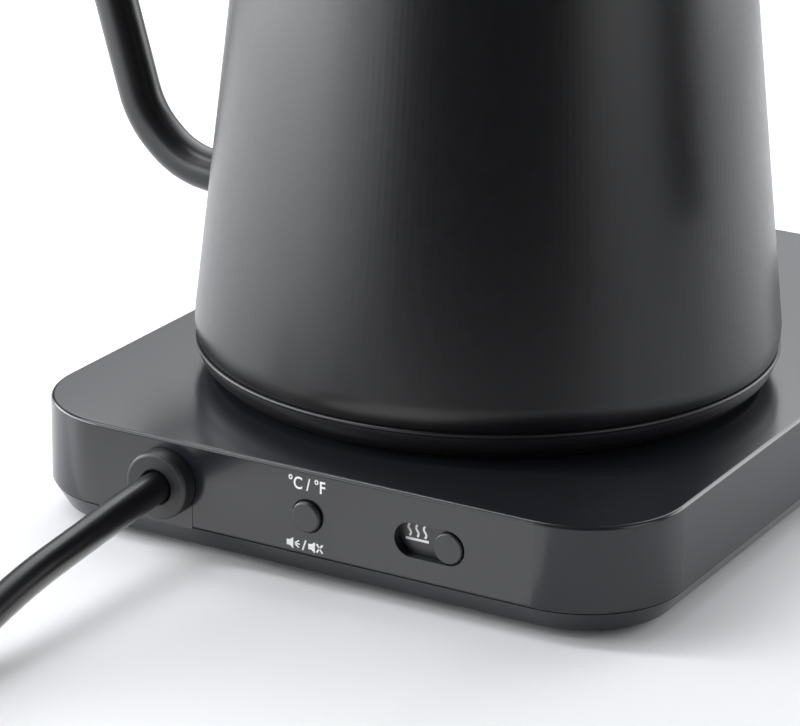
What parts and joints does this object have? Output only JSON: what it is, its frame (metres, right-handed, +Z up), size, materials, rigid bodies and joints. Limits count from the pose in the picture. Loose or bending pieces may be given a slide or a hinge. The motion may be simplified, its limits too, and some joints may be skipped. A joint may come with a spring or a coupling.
{
  "type": "electric kettle",
  "caption": "Gooseneck electric kettle with a tapered steel body, side handle and lift-off lid, on a flat square-cornered powered base with its mains lead.",
  "frame": {"origin": "on the table, under the kettle's axis", "axes": "+Z up; the spout points along -X and the handle along +X; the mains lead leaves the base's rear face along -Y"},
  "size_m": [0.2522, 0.3648, 0.1857],
  "materials": {
    "base_plastic": "fine moulded texture, satin black",
    "control_plastic": "smooth satin black",
    "dial_plastic": "satin black",
    "display_acrylic": "polished black acrylic",
    "foot_rubber": "matt black",
    "gland_rubber": "satin black",
    "lead_pvc": "satin to gloss black",
    "tie_rubber": "matt black",
    "zinc_screw": "zinc plated",
    "contact_brass": "bright",
    "plug_nickel": "nickel plated",
    "board_laminate": "green solder mask",
    "component_case": "moulded case",
    "relay_case": "moulded blue case",
    "shaft_steel": "turned",
    "wire_pvc": "smooth",
    "powder_coat": "matt black powder coat on stainless steel",
    "inner_steel": "plain stainless steel",
    "kettle_plastic": "satin black",
    "grip_plastic": "soft matt black",
    "seal_silicone": "translucent grey"
  },
  "bodies": {
    "base": {"base_housing": "base_plastic", "base_tray": "base_plastic", "rubber_feet": "foot_rubber", "base_screws": "zinc_screw", "control_board": "board_laminate", "display_window": "display_acrylic", "display_module": "component_case", "encoder_body": "component_case", "power_switch": "component_case", "power_board": "board_laminate", "power_relay": "relay_case", "power_transformer": "component_case", "power_capacitors": "component_case", "buzzer": "component_case", "base_connector": "kettle_plastic", "base_contacts": "contact_brass", "connector_screws": "zinc_screw", "rear_board": "board_laminate", "unit_switch": "component_case", "slide_switch": "component_case", "cord_gland": "gland_rubber", "lead_wires": "wire_pvc", "power_cord": "lead_pvc", "cord_coil": "lead_pvc", "cord_tie": "tie_rubber", "plug_body": "lead_pvc", "plug_blades": "plug_nickel", "plug_ground_pin": "plug_nickel"},
    "control_knob": {"control_knob": "dial_plastic", "encoder_shaft": "shaft_steel"},
    "power_button": {"power_button": "control_plastic"},
    "unit_button": {"unit_button": "control_plastic"},
    "keep_warm_slider": {"keep_warm_slider": "control_plastic"},
    "kettle_connector": {"kettle_connector": "kettle_plastic", "kettle_contacts": "contact_brass"},
    "kettle": {"body_shell": "powder_coat", "spout": "powder_coat", "lower_ring": "kettle_plastic", "bottom_cover": "kettle_plastic", "bottom_screws": "zinc_screw", "heater_plate": "inner_steel", "heating_element": "inner_steel", "temperature_probe": "inner_steel", "thermal_cutout": "component_case", "handle_bracket": "powder_coat", "handle_grip": "grip_plastic", "handle_screws": "zinc_screw"},
    "lid": {"lid_cover": "powder_coat", "lid_inner": "inner_steel", "lid_seal": "seal_silicone", "lid_knob": "grip_plastic", "lid_screw": "zinc_screw"}
  },
  "joints": [
    {"name": "kettle_lift", "type": "slide", "parent": "base", "child": "kettle_connector", "axis": [0, 0, 1], "range_m": [0, 0.12]},
    {"name": "kettle_turn", "type": "hinge", "parent": "kettle_connector", "child": "kettle", "pos_m": [0, 0, 0.04], "axis": [0, 0, 1], "continuous": true},
    {"name": "lid_lift", "type": "slide", "parent": "kettle", "child": "lid", "axis": [0, 0, 1], "range_m": [0, 0.06]},
    {"name": "knob_turn", "type": "hinge", "parent": "base", "child": "control_knob", "pos_m": [-0.047, 0.097, 0.03], "axis": [0, 0, 1], "continuous": true},
    {"name": "power_press", "type": "slide", "parent": "base", "child": "power_button", "axis": [0, 0, -1], "range_m": [0, 0.0012], "stiffness_N_per_m": 800, "springref_m": -0.0005},
    {"name": "unit_press", "type": "slide", "parent": "base", "child": "unit_button", "axis": [0, 1, 0], "range_m": [0, 0.0008], "stiffness_N_per_m": 800, "springref_m": -0.0005},
    {"name": "keep_warm_slide", "type": "slide", "parent": "base", "child": "keep_warm_slider", "axis": [1, 0, 0], "range_m": [-0.0088, 0]}
  ]
}
